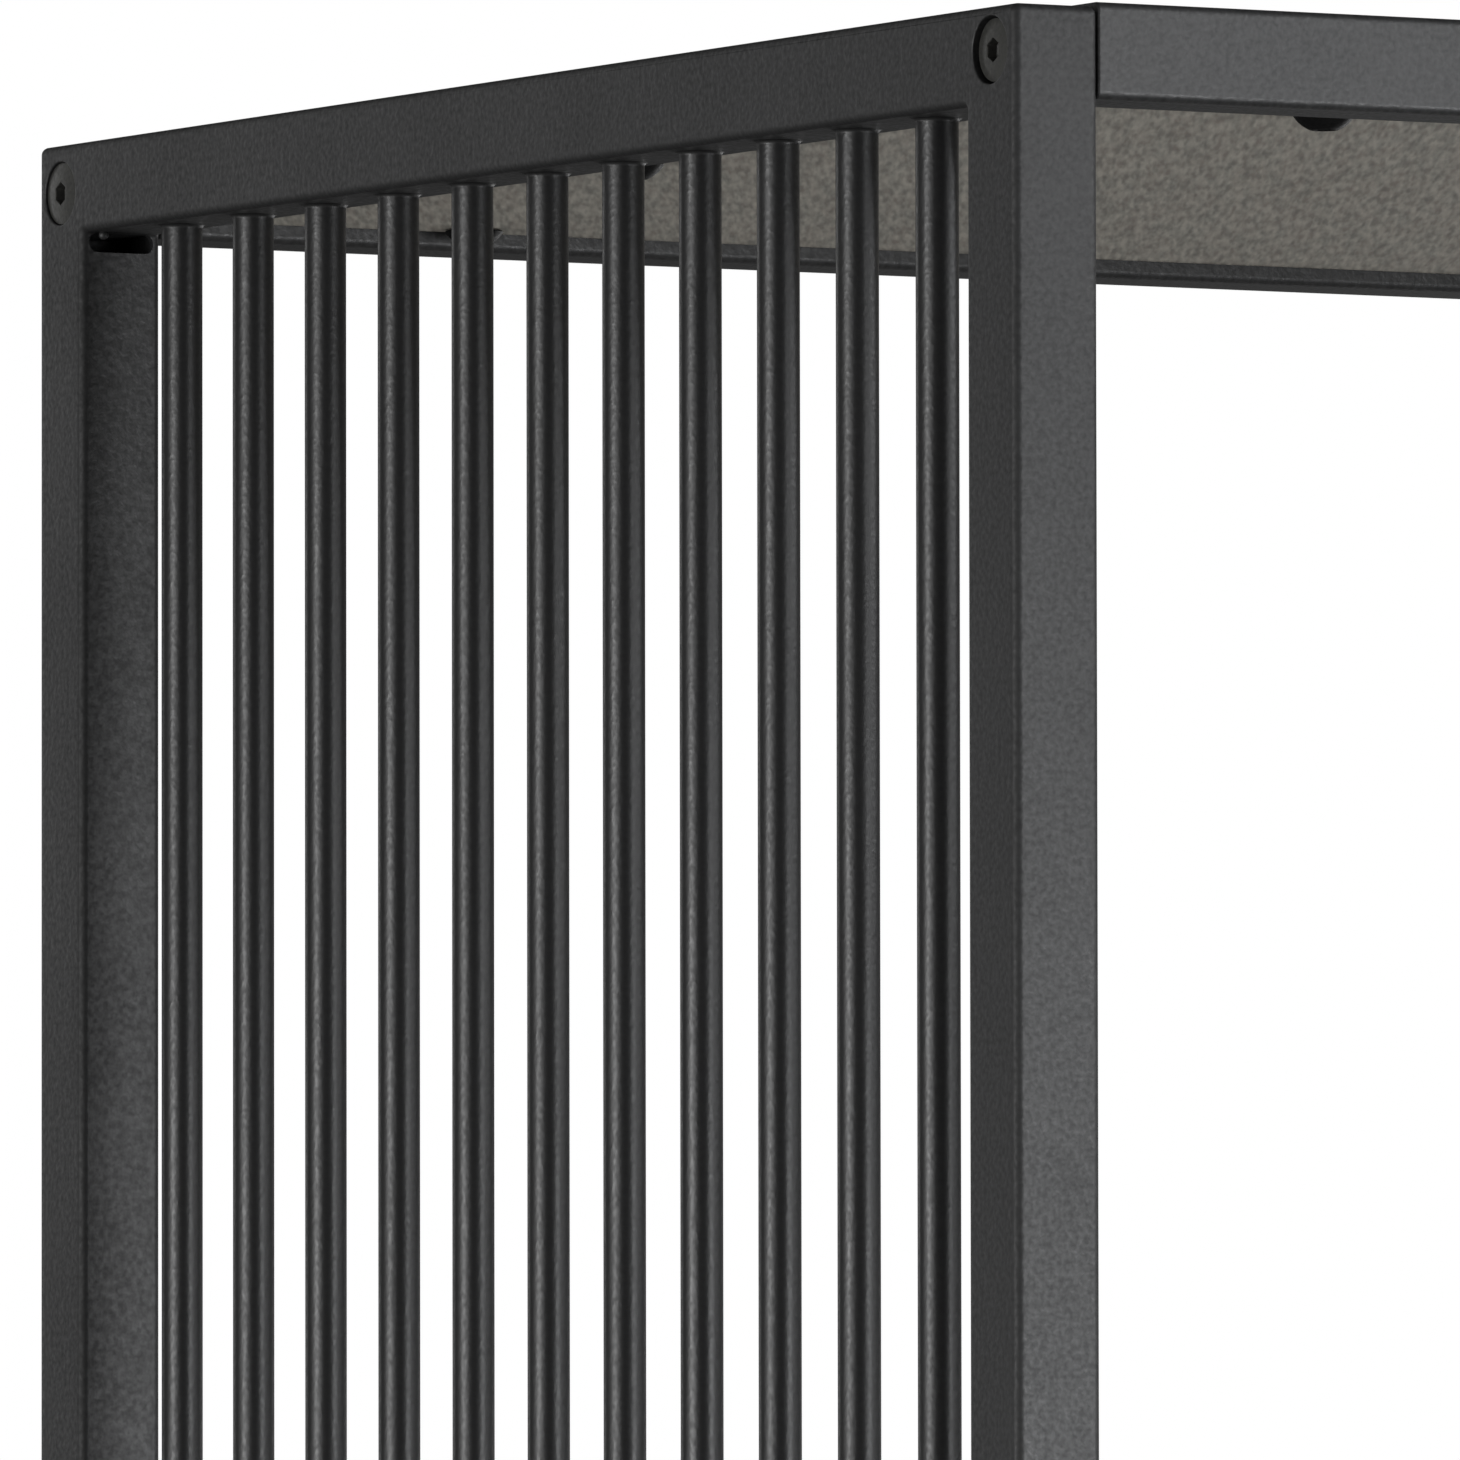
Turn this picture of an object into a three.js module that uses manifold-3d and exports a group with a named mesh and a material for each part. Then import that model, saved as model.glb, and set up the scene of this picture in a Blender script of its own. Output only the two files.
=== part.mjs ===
// Free-standing fireside rack: two barred end frames of welded square tube, joined by four bolted
// cross rails, with a stone-look board set inside the upper rails and one inside the lower rails.
// Millimetres. +X runs from the left end frame to the right one, +Y to the rear, +Z up. The origin
// is on the floor, under the middle of the rack.

import * as THREE from "three";
import { mergeVertices } from "three/addons/utils/BufferGeometryUtils.js";
import Module from "manifold-3d";

// Driving dimensions.
const WIDTH = 1000; // over both end frames
const DEPTH = 424; // front face to rear face
const HEIGHT = 1200; // floor to the top of the posts
const TUBE = 20; // square tube of posts and rails
const WALL = 1.5;
const TUBE_CORNER = 1.8; // outer corner radius of the tube
const BAR_DIAMETER = 9;
const BARS = 11; // round bars in each end frame
const LOWER_RAIL = 60; // floor to the underside of the lower rails
const FRONT_RAIL_PROUD = 1; // the upper front rail stands this much above the posts
const REAR_RAIL_DROP = 0.8; // the upper rear rail hangs this much below them

const BOARD = 16; // thickness of each board
const BOARD_LIP = 0.8; // top of a board below the top of the rails round it
const BOARD_MARGIN = 1; // gap all round, between board and rails

const LUG_WIDTH = 21;
const LUG_REACH = 22; // from the rail's inner face
const LUG_THICKNESS = 3;
const LUG_LEVEL = 5; // underside of a lug above the underside of the board that it reaches into
const LUG_BOLT = 11.2; // bolt axis from the rail's inner face
const LUG_FROM_END = 93; // bolt axis of a cross rail's lug from the end of the rack

const SHANK = 6; // M6 bolts
const HEAD = 13;
const BUTTON_HEAD = { rim: 0.9, height: 3.3 }; // of a board bolt: straight rim, then a dome
const FLAT_HEAD = { rim: 2.5, height: 3 }; // of a corner bolt, nearly flat
const HEX_SOCKET = 4; // across flats
const SOCKET_DEPTH = 2;
const SEAT = 14; // round recess that hides a corner bolt's head
const SEAT_DEPTH = 4.1;
const CORNER_SHANK = 28;
const BOARD_SHANK = 12;

const SPACER = 10; // spacer bush that keeps the bolt from crushing the tube
const SEAT_CUP = 16; // outside of the pressed cup round the seat
const CUP_FLOOR = 1.2;
const END_PLATE = 3; // welded into each end of a cross rail
const NUT = 12; // round weld nut behind the end plate
const NUT_HEIGHT = 6;
const VENT_WIDTH = 16; // oblong vent in each post, just under the upper end rail
const VENT_HEIGHT = 4.3;
const VENT_CORNER = 2;
const VENT_CUT = 5;

const FOOT_HEIGHT = 10; // floor to the bottom of the posts
const FOOT_DIAMETER = 19;
const FOOT_NECK = 13;
const FOOT_STEM = 8;
const FOOT_STEM_LENGTH = 34;
const FOOT_PLATE = 3; // threaded plate in the bottom of each post

const CLEAR = 0.3; // between pieces that slide or are screwed into each other
const ROUND_SIDES = 12; // facets of bolts, bores and nuts

const POST_LENGTH = HEIGHT - FOOT_HEIGHT;
const SPAN = WIDTH - 2 * TUBE; // between the end frames
const REACH = DEPTH - 2 * TUBE; // between the front and rear posts
const POST_X = (WIDTH - TUBE) / 2;
const POST_Y = (DEPTH - TUBE) / 2;
const UPPER_AXIS = HEIGHT - TUBE / 2;
const LOWER_AXIS = LOWER_RAIL + TUBE / 2;
const BOARD_FACE = TUBE - BOARD_LIP - BOARD; // underside of a board above the rails' underside
const LUG_FACE = BOARD_FACE + LUG_LEVEL; // underside of a lug above the rails' underside

const steel = new THREE.MeshStandardMaterial({ color: 0x35363a, roughness: 0.62, metalness: 0.35 });
const barSteel = new THREE.MeshStandardMaterial({ color: 0x2f3032, roughness: 0.5, metalness: 0.35 });
const stone = new THREE.MeshStandardMaterial({ color: 0x77746c, roughness: 0.85, metalness: 0 });
const boltSteel = new THREE.MeshStandardMaterial({ color: 0x3a3a38, roughness: 0.45, metalness: 0.7 });
const plastic = new THREE.MeshStandardMaterial({ color: 0x161617, roughness: 0.7, metalness: 0 });

const wasm = await Module();
wasm.setup();

// A closed three.js geometry as a solid that can be joined and cut.
function solid(geometry) {
  const bare = geometry.clone();
  bare.deleteAttribute("normal");
  bare.deleteAttribute("uv");
  const merged = mergeVertices(bare, 1e-4);
  return new wasm.Manifold(
    new wasm.Mesh({
      numProp: 3,
      vertProperties: merged.attributes.position.array,
      triVerts: new Uint32Array(merged.index.array),
    }),
  );
}

function geometryOf(manifold) {
  const made = manifold.getMesh();
  const geometry = new THREE.BufferGeometry();
  geometry.setAttribute("position", new THREE.BufferAttribute(made.vertProperties, 3));
  geometry.setIndex(new THREE.BufferAttribute(made.triVerts, 1));
  geometry.computeVertexNormals();
  return geometry;
}

// An upright cylinder, or a six-sided prism, standing on z = 0.
function upright(diameter, height, sides = ROUND_SIDES) {
  return new THREE.CylinderGeometry(diameter / 2, diameter / 2, height, sides)
    .rotateX(Math.PI / 2)
    .translate(0, 0, height / 2);
}

// The same cylinder lying along X, from x = 0 towards the side that sign names.
function lying(diameter, length, sign) {
  return upright(diameter, length).rotateY((sign * Math.PI) / 2);
}

function roundedOutline(width, height, radius, Kind = THREE.Shape) {
  const x = width / 2 - radius;
  const y = height / 2 - radius;
  const outline = new Kind();
  outline.moveTo(x, -y - radius);
  outline.absarc(x, -y, radius, -Math.PI / 2, 0);
  outline.absarc(x, y, radius, 0, Math.PI / 2);
  outline.absarc(-x, y, radius, Math.PI / 2, Math.PI);
  outline.absarc(-x, -y, radius, Math.PI, 1.5 * Math.PI);
  return outline;
}

function extruded(outline, depth) {
  return new THREE.ExtrudeGeometry(outline, { depth, bevelEnabled: false, curveSegments: 2 });
}

// Square tube standing on z = 0, open at both ends.
function tube(length) {
  const outline = roundedOutline(TUBE, TUBE, TUBE_CORNER);
  const bore = TUBE - 2 * WALL;
  outline.holes.push(roundedOutline(bore, bore, TUBE_CORNER - WALL, THREE.Path));
  return extruded(outline, length);
}

function tubePlate(thickness, z) {
  return solid(extruded(roundedOutline(TUBE, TUBE, TUBE_CORNER), thickness).translate(0, 0, z));
}

// Post: outward is the side of X that its bolt seats are on, inward the side of Y that its vent is on.
function postSolid(outward, inward, upperSeat) {
  let post = solid(tube(POST_LENGTH))
    .add(tubePlate(FOOT_PLATE, 0))
    .add(tubePlate(WALL, POST_LENGTH - WALL));
  for (const z of [upperSeat, LOWER_AXIS - FOOT_HEIGHT]) {
    const x = (outward * TUBE) / 2;
    const cup = lying(SEAT_CUP, SEAT_DEPTH + CUP_FLOOR, -outward).translate(x, 0, z);
    const spacer = lying(SPACER, TUBE, -outward).translate(x, 0, z);
    const recess = lying(SEAT, SEAT_DEPTH + 1, -outward).translate(x + outward, 0, z);
    const bore = lying(SHANK + 2 * CLEAR, TUBE + 2, -outward).translate(x + outward, 0, z);
    post = post.add(solid(cup)).add(solid(spacer)).subtract(solid(recess)).subtract(solid(bore));
  }
  const vent = extruded(roundedOutline(VENT_WIDTH, 2 * VENT_HEIGHT, VENT_CORNER), VENT_CUT)
    .rotateX(Math.PI / 2)
    .translate(0, (inward * TUBE + VENT_CUT) / 2, POST_LENGTH - TUBE);
  const stemHole = upright(FOOT_STEM + 2 * CLEAR, FOOT_PLATE + 2).translate(0, 0, -1);
  return post.subtract(solid(vent)).subtract(solid(stemHole));
}

// Lug that reaches into a board's edge, along X from the wall of a rail, its underside at z = 0.
function lugSolid() {
  const half = LUG_WIDTH / 2;
  const corner = 5;
  const outline = new THREE.Shape();
  outline.moveTo(-WALL / 2, -half);
  outline.lineTo(LUG_REACH - corner, -half);
  outline.absarc(LUG_REACH - corner, corner - half, corner, -Math.PI / 2, 0);
  outline.absarc(LUG_REACH - corner, half - corner, corner, 0, Math.PI / 2);
  outline.lineTo(-WALL / 2, half);
  const hole = upright(SHANK + 2 * CLEAR, LUG_THICKNESS + 2).translate(LUG_BOLT, 0, -1);
  return solid(extruded(outline, LUG_THICKNESS)).subtract(solid(hole));
}

// End rail along Y, centred on its axis, with one lug at mid-depth on the side of X that sign names.
function endRailSolid(sign) {
  const rail = solid(tube(REACH).rotateX(Math.PI / 2).translate(0, REACH / 2, 0));
  const turn = sign > 0 ? 0 : 180;
  const lug = lugSolid().rotate([0, 0, turn]).translate([(sign * TUBE) / 2, 0, LUG_FACE - TUBE / 2]);
  return rail.add(lug);
}

// Cross rail along X, centred on its axis, with lugs on the side of Y that sign names. raise is how
// far the rail sits above the end rails, so its lugs sit that much lower on it.
function crossRailSolid(sign, raise) {
  let rail = solid(tube(SPAN).translate(0, 0, -SPAN / 2).rotateY(Math.PI / 2));
  for (const end of [-1, 1]) {
    const x = (end * SPAN) / 2;
    const plate = extruded(roundedOutline(TUBE, TUBE, TUBE_CORNER), END_PLATE)
      .rotateY((-end * Math.PI) / 2)
      .translate(x, 0, 0);
    const nut = lying(NUT, END_PLATE + NUT_HEIGHT, -end).translate(x, 0, 0);
    const bore = lying(SHANK + 2 * CLEAR, END_PLATE + NUT_HEIGHT + 2, -end).translate(x + end, 0, 0);
    const lug = lugSolid()
      .rotate([0, 0, 90 * sign])
      .translate([end * (WIDTH / 2 - LUG_FROM_END), (sign * TUBE) / 2, LUG_FACE - TUBE / 2 - raise]);
    rail = rail.add(solid(plate)).add(solid(nut)).subtract(solid(bore)).add(lug);
  }
  return rail;
}

// Where the lugs of one level are: middle of the lug on the rail's inner face, and its direction.
function lugPlaces() {
  const x = WIDTH / 2 - LUG_FROM_END;
  return [
    ["front_left", -x, -REACH / 2, 90],
    ["front_right", x, -REACH / 2, 90],
    ["rear_left", -x, REACH / 2, -90],
    ["rear_right", x, REACH / 2, -90],
    ["left", -SPAN / 2, 0, 0],
    ["right", SPAN / 2, 0, 180],
  ];
}

// Board with its underside at z = 0, slotted in its edge for each lug and bored for each bolt.
function boardSolid() {
  const sizeX = SPAN - 2 * BOARD_MARGIN;
  const sizeY = REACH - 2 * BOARD_MARGIN;
  let board = solid(extruded(roundedOutline(sizeX, sizeY, 1), BOARD));
  const slotHeight = LUG_THICKNESS + 2 * CLEAR;
  const slotReach = LUG_REACH + 1;
  for (const [, x, y, turn] of lugPlaces()) {
    const slot = new THREE.BoxGeometry(slotReach, LUG_WIDTH + 2, slotHeight)
      .translate(slotReach / 2, 0, LUG_LEVEL + LUG_THICKNESS / 2)
      .rotateZ(THREE.MathUtils.degToRad(turn))
      .translate(x, y, 0);
    const bore = upright(SHANK + 2 * CLEAR, BOARD_SHANK + 1)
      .translate(LUG_BOLT, 0, 0)
      .rotateZ(THREE.MathUtils.degToRad(turn))
      .translate(x, y, 0);
    board = board.subtract(solid(slot)).subtract(solid(bore));
  }
  return board;
}

// Socket bolt: it bears on z = 0, its head above and its shank below.
function boltSolid(shankLength, { rim, height }) {
  const half = HEAD / 2;
  const crown = HEX_SOCKET;
  const profile = [
    new THREE.Vector2(0, -shankLength),
    new THREE.Vector2(SHANK / 2 - 0.6, -shankLength),
    new THREE.Vector2(SHANK / 2, 0.6 - shankLength),
    new THREE.Vector2(SHANK / 2, 0),
    new THREE.Vector2(half, 0),
    new THREE.Vector2(half, rim),
  ];
  const arcSteps = 2;
  for (let i = 1; i <= arcSteps; i++) {
    const angle = (i / arcSteps) * (Math.PI / 2);
    const r = crown + (half - crown) * Math.cos(angle);
    profile.push(new THREE.Vector2(r, rim + (height - rim) * Math.sin(angle)));
  }
  profile.push(new THREE.Vector2(0, height));
  const body = solid(new THREE.LatheGeometry(profile, ROUND_SIDES).rotateX(Math.PI / 2));
  const acrossCorners = HEX_SOCKET / Math.cos(Math.PI / 6);
  const socket = upright(acrossCorners, SOCKET_DEPTH + 1, 6).translate(0, 0, height - SOCKET_DEPTH);
  return body.subtract(solid(socket));
}

// Levelling foot: pad on z = 0, neck, and the stem that screws into the post.
function footSolid() {
  const neckTop = FOOT_HEIGHT - CLEAR;
  const profile = [
    new THREE.Vector2(0, 0),
    new THREE.Vector2(FOOT_DIAMETER / 2 - 1, 0),
    new THREE.Vector2(FOOT_DIAMETER / 2, 1),
    new THREE.Vector2(FOOT_DIAMETER / 2, 4),
    new THREE.Vector2(FOOT_NECK / 2, 5.5),
    new THREE.Vector2(FOOT_NECK / 2, neckTop),
    new THREE.Vector2(FOOT_STEM / 2, neckTop),
    new THREE.Vector2(FOOT_STEM / 2, neckTop + FOOT_STEM_LENGTH - 1),
    new THREE.Vector2(FOOT_STEM / 2 - 1, neckTop + FOOT_STEM_LENGTH),
    new THREE.Vector2(0, neckTop + FOOT_STEM_LENGTH),
  ];
  return solid(new THREE.LatheGeometry(profile, ROUND_SIDES).rotateX(Math.PI / 2));
}

function piece(name, manifold, material) {
  const mesh = new THREE.Mesh(geometryOf(manifold), material);
  mesh.name = name;
  return mesh;
}

function endFrame(side, outward) {
  const frame = new THREE.Group();
  const posts = [
    ["front", -1, FRONT_RAIL_PROUD],
    ["rear", 1, -REAR_RAIL_DROP],
  ];
  for (const [place, y, raise] of posts) {
    const seat = UPPER_AXIS - FOOT_HEIGHT + raise;
    const post = piece(`${side}_${place}_post`, postSolid(outward, -y, seat), steel);
    post.position.set(0, y * POST_Y, FOOT_HEIGHT);
    frame.add(post);
    const heights = { upper: UPPER_AXIS + raise, lower: LOWER_AXIS };
    for (const [level, z] of Object.entries(heights)) {
      const bolt = piece(`${side}_${place}_${level}_bolt`, boltSolid(CORNER_SHANK, FLAT_HEAD), boltSteel);
      bolt.rotation.y = (outward * Math.PI) / 2;
      bolt.position.set(outward * (TUBE / 2 - SEAT_DEPTH + CLEAR), y * POST_Y, z);
      frame.add(bolt);
    }
  }
  const rails = { upper: UPPER_AXIS, lower: LOWER_AXIS };
  for (const [level, z] of Object.entries(rails)) {
    const rail = piece(`${side}_${level}_rail`, endRailSolid(-outward), steel);
    rail.position.z = z;
    frame.add(rail);
  }
  const barLength = UPPER_AXIS - LOWER_AXIS - TUBE;
  const barGap = (REACH - BARS * BAR_DIAMETER) / (BARS + 1);
  for (let i = 0; i < BARS; i++) {
    const bar = piece(`${side}_bar_${i + 1}`, solid(upright(BAR_DIAMETER, barLength, 16)), barSteel);
    const y = barGap + BAR_DIAMETER / 2 + i * (barGap + BAR_DIAMETER) - REACH / 2;
    bar.position.set(0, y, LOWER_AXIS + TUBE / 2);
    frame.add(bar);
  }
  frame.position.x = outward * POST_X;
  return frame;
}

function crossRails() {
  const rails = new THREE.Group();
  const places = [
    ["upper_front_rail", -1, UPPER_AXIS, FRONT_RAIL_PROUD],
    ["upper_rear_rail", 1, UPPER_AXIS, -REAR_RAIL_DROP],
    ["lower_front_rail", -1, LOWER_AXIS, 0],
    ["lower_rear_rail", 1, LOWER_AXIS, 0],
  ];
  for (const [name, y, axis, raise] of places) {
    const rail = piece(name, crossRailSolid(-y, raise), steel);
    rail.position.set(0, y * POST_Y, axis + raise);
    rails.add(rail);
  }
  return rails;
}

function boardLevel(level, axis) {
  const group = new THREE.Group();
  group.add(piece(`${level}_board`, boardSolid(), stone));
  for (const [place, x, y, turn] of lugPlaces()) {
    const bolt = piece(`${level}_board_bolt_${place}`, boltSolid(BOARD_SHANK, BUTTON_HEAD), boltSteel);
    const angle = THREE.MathUtils.degToRad(turn);
    bolt.rotation.x = Math.PI;
    bolt.position.set(x + LUG_BOLT * Math.cos(angle), y + LUG_BOLT * Math.sin(angle), -CLEAR);
    group.add(bolt);
  }
  group.position.z = axis - TUBE / 2 + BOARD_FACE;
  return group;
}

function feet() {
  const group = new THREE.Group();
  for (const [side, x] of [["left", -1], ["right", 1]]) {
    for (const [place, y] of [["front", -1], ["rear", 1]]) {
      const foot = piece(`${side}_${place}_foot`, footSolid(), plastic);
      foot.position.set(x * POST_X, y * POST_Y, 0);
      group.add(foot);
    }
  }
  return group;
}

const group = new THREE.Group();
group.add(endFrame("left", -1));
group.add(endFrame("right", 1));
group.add(crossRails());
group.add(boardLevel("upper", UPPER_AXIS));
group.add(boardLevel("lower", LOWER_AXIS));
group.add(feet());

export default group;
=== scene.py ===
# Looks for the fireside rack: two welded end frames of powder-coated tube with round bars, four cross
# rails, two stone-look boards, socket bolts and levelling feet. Metres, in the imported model's frame.
import math

import bmesh
import bpy
from mathutils import Matrix, Vector


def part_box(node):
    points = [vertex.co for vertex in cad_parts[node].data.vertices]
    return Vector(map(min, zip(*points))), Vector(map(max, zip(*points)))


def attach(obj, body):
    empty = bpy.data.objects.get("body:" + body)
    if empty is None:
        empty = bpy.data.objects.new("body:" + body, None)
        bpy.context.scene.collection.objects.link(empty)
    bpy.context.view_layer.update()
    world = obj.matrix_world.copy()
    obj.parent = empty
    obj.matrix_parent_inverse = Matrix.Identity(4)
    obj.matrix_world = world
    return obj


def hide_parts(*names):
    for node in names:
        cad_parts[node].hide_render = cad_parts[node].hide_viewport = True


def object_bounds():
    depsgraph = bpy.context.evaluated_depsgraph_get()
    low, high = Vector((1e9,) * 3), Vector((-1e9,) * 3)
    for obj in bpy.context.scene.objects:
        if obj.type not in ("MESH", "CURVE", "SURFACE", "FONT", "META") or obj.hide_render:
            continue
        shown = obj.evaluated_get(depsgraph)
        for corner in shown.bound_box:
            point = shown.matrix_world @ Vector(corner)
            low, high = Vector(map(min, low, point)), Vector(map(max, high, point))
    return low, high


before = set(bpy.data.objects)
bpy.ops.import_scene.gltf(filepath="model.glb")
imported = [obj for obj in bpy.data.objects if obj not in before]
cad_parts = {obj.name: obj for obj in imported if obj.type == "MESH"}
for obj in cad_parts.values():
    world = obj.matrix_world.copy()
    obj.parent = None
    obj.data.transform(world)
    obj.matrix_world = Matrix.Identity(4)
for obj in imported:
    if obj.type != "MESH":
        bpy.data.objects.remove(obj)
cad_low, cad_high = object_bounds()

MM = 0.001
SIDES = {"left": -1, "right": 1}
PLACES = {"front": -1, "rear": 1}
LEVELS = ("upper", "lower")
BARS = 11
BOARD_BOLTS = ("front_left", "front_right", "rear_left", "rear_right", "left", "right")

# Sizes that a node's box doesn't give.
TUBE_CORNER = 1.8 * MM
FRAME_CORNER = 1.8 * MM  # outer corners of a welded end frame
WELD_CORNER = 0.8 * MM  # inner corners, where post and rail are welded
WELD_STUB = 1.2 * MM  # how much of a rail's end belongs to the post's piece
CUT_EDGE = 0.5 * MM  # edge of a sawn tube end under its coat
FOOT_END = 0.8 * MM
SEAT_RADIUS = 7 * MM  # recess for a corner bolt's head
SEAT_DEPTH = 4.1 * MM
SEAT_EDGE = 0.35 * MM
BUTTON_HEAD = (0.25 * MM, 3.3 * MM)  # heights of a head's rim and top above its bearing face
FLAT_HEADS = {"front": (2.5 * MM, 3.0 * MM), "rear": (3.2 * MM, 3.65 * MM)}
CAD_FLAT_HEAD = 3 * MM  # height of a corner bolt's head in its node's box
REAR_HEAD_WIDER = 0.3 * MM
HEAD_EDGE = 0.2 * MM
SHANK_RADIUS = 3 * MM
SHANK_TIP_RADIUS = 0.75 * SHANK_RADIUS
THREAD_ROOT_RADIUS = 0.84 * SHANK_RADIUS
THREAD_PITCH = 1 * MM
BORE_RADIUS = 3.4 * MM
RAIL_BORE_DEPTH = 12 * MM
HEX_SOCKET = 4.3 * MM  # across flats
SOCKET_MOUTH_RADIUS = 0.66 * HEX_SOCKET
SOCKET_CHAMFER = 0.12 * MM
SOCKET_DEPTH = 2.2 * MM
SOCKET_CONE = 0.7 * MM  # below that depth
SOCKET_CONE_RADIUS = 0.3 * MM
VENT_WIDTH = 16 * MM
VENT_HEIGHT = 4.3 * MM
VENT_CORNER = 2 * MM
VENT_DEPTH = 5 * MM
VENT_GAP = 0.05 * MM  # between the vent and the rail above it
WALL = 1.5 * MM
HOLLOW = 60 * MM  # how far down from the rail a post is hollow
HOLLOW_EDGE = 0.5 * MM
LUG_WIDTH = 21 * MM
LUG_REACH = 22 * MM
LUG_THICKNESS = 3 * MM
LUG_LEVEL = 5 * MM  # lug's underside above the board's underside
LUG_CORNER = 5 * MM
SLOT_CORNER = 1 * MM
CLEAR = 0.3 * MM
BOARD_CORNER = 1 * MM
BOARD_EDGE = 0.6 * MM
BAR_WELD = 0.9 * MM  # fillet of weld at each end of a bar
DROP = 1.1 * MM  # bead of coat under each end of an upper rail
PAD_HEIGHT = 4 * MM
NECK_RADIUS = 6.5 * MM
STEM_RADIUS = 4 * MM
STEM_TIP_RADIUS = 2.6 * MM
STEM_PITCH = 1.25 * MM
STEM_THREAD_DEPTH = 0.7 * MM
FOOT_BORE_RADIUS = 4.4 * MM
FLUTES = 24
FLUTE_DEPTH = 0.35 * MM

OVERSHOOT = 1 * MM  # how far a tool for cutting or joining reaches past the face it starts from
SHARP = 0.1 * MM  # rounding of an edge that should look sharp
LEAST_RADIUS = 0.05 * MM  # of a corner, however far it is inset
SAME = 1e-7  # vertices closer than this are one
CORNER_STEPS = 6  # straight pieces in a rounded corner
RIM_STEPS = 5
FILLET_STEPS = 4
ROUND = 48  # sides of a round piece
BAR_SIDES = 40
BORE_SIDES = 32
DROP_SIDES = 24
SMOOTH_ANGLE = math.radians(32)
EDGE = "edge"  # 1 along a rounded edge or a weld, 0 on flat faces; the tube and bar coats paint shade there, darker and rougher
FAR = 2.6  # from the view corner to most softboxes
NEAR = 1.3


# ---- mesh building ----

def new_mesh():
    """Empty mesh that can hold how close to an edge each vertex is."""
    bm = bmesh.new()
    bm.verts.layers.float.new(EDGE)
    return bm


def outline(corners, inset=0.0):
    """Points of a closed right-angled outline, its corners rounded, moved into the material by inset.
    corners holds (u, v, radius), with the material to the left of each edge."""
    points = []
    for i, (u, v, radius) in enumerate(corners):
        tip = Vector((u, v))
        last = Vector(corners[i - 1][:2])
        following = Vector(corners[(i + 1) % len(corners)][:2])
        before = (tip - last).normalized()
        after = (following - tip).normalized()
        inward = Vector((-before.y, before.x))
        inward_after = Vector((-after.y, after.x))
        side = 1 if before.cross(after) > 0 else -1
        r = max(radius - side * inset, LEAST_RADIUS)
        centre = tip + inset * (inward + inward_after) - r * before + side * r * inward
        for k in range(CORNER_STEPS + 1):
            angle = k / CORNER_STEPS * math.pi / 2
            points.append(centre - side * r * math.cos(angle) * inward + r * math.sin(angle) * before)
    return points


def rectangle(u0, v0, u1, v1, radius):
    return [(u0, v0, radius), (u1, v0, radius), (u1, v1, radius), (u0, v1, radius)]


def join_rings(bm, rings):
    """Quads between each ring of vertices and the next."""
    for a, b in zip(rings, rings[1:]):
        for i in range(len(a)):
            j = (i + 1) % len(a)
            bm.faces.new((a[i], a[j], b[j], b[i]))


def ring_edges(bm, ring):
    return [bm.edges.get((ring[i - 1], ring[i])) for i in range(len(ring))]


def ring_of(bm, place, radii, z):
    """Ring of vertices about the local Z axis, one for each of radii."""
    ring = []
    for k, radius in enumerate(radii):
        angle = 2 * math.pi * k / len(radii)
        ring.append(bm.verts.new(place @ Vector((radius * math.cos(angle), radius * math.sin(angle), z))))
    return ring


def quarter_round(size, steps):
    """Steps of a rounded edge from one face to the next, as (distance in, distance back)."""
    angles = [k / steps * math.pi / 2 for k in range(steps + 1)]
    return [(size * (1 - math.sin(angle)), size * (1 - math.cos(angle))) for angle in angles]


def seat_rings(bm, place, u, v, w, inward):
    """Recess for a bolt head in the face at w. Returns its rim, for the face to be filled round."""
    profile = [(SEAT_RADIUS + out, depth) for out, depth in quarter_round(SEAT_EDGE, FILLET_STEPS)]
    profile.append((SEAT_RADIUS, SEAT_DEPTH - SEAT_EDGE))
    profile.append((SEAT_RADIUS - SEAT_EDGE, SEAT_DEPTH))
    middle_of_seat = place @ Matrix.Translation((u, v, w))
    rings = [ring_of(bm, middle_of_seat, [radius] * ROUND, inward * depth) for radius, depth in profile]
    join_rings(bm, rings)
    bm.faces.new(rings[-1])
    return rings[0]


def slab(bm, outlines, low, high, rounding, place, seats=()):
    """Solid between w = low and w = high with rounded rims. place takes (u, v, w) to the frame.
    seats holds (u, v, side), side being 1 for the high face and -1 for the low one."""
    edge_layer = bm.verts.layers.float[EDGE]
    levels = []
    for k, (inset, back) in enumerate(quarter_round(rounding, RIM_STEPS)):
        levels.append((inset, back, math.sin(k / RIM_STEPS * math.pi)))
    rims = {1: [], -1: []}
    for corners in outlines:
        rings = []
        stack = [(inset, high - back, edge) for inset, back, edge in levels]
        stack += [(inset, low + back, edge) for inset, back, edge in reversed(levels)]
        for inset, w, edge in stack:
            ring = [bm.verts.new(place @ Vector((p.x, p.y, w))) for p in outline(corners, inset)]
            for vertex in ring:
                vertex[edge_layer] = edge
            rings.append(ring)
        join_rings(bm, rings)
        rims[1] += ring_edges(bm, rings[0])
        rims[-1] += ring_edges(bm, rings[-1])
    for u, v, side in seats:
        w = high if side > 0 else low
        rims[side] += ring_edges(bm, seat_rings(bm, place, u, v, w, -side))
    for edges in rims.values():
        bmesh.ops.triangle_fill(bm, use_beauty=True, edges=edges)


def lathe(bm, profile, place, sides=ROUND):
    """Solid of revolution about the local Z axis. profile holds (radius, z) from one end to the other."""
    rings = [ring_of(bm, place, [radius] * sides, z) for radius, z in profile]
    join_rings(bm, rings)
    bm.faces.new(rings[0])
    bm.faces.new(rings[-1])


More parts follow.
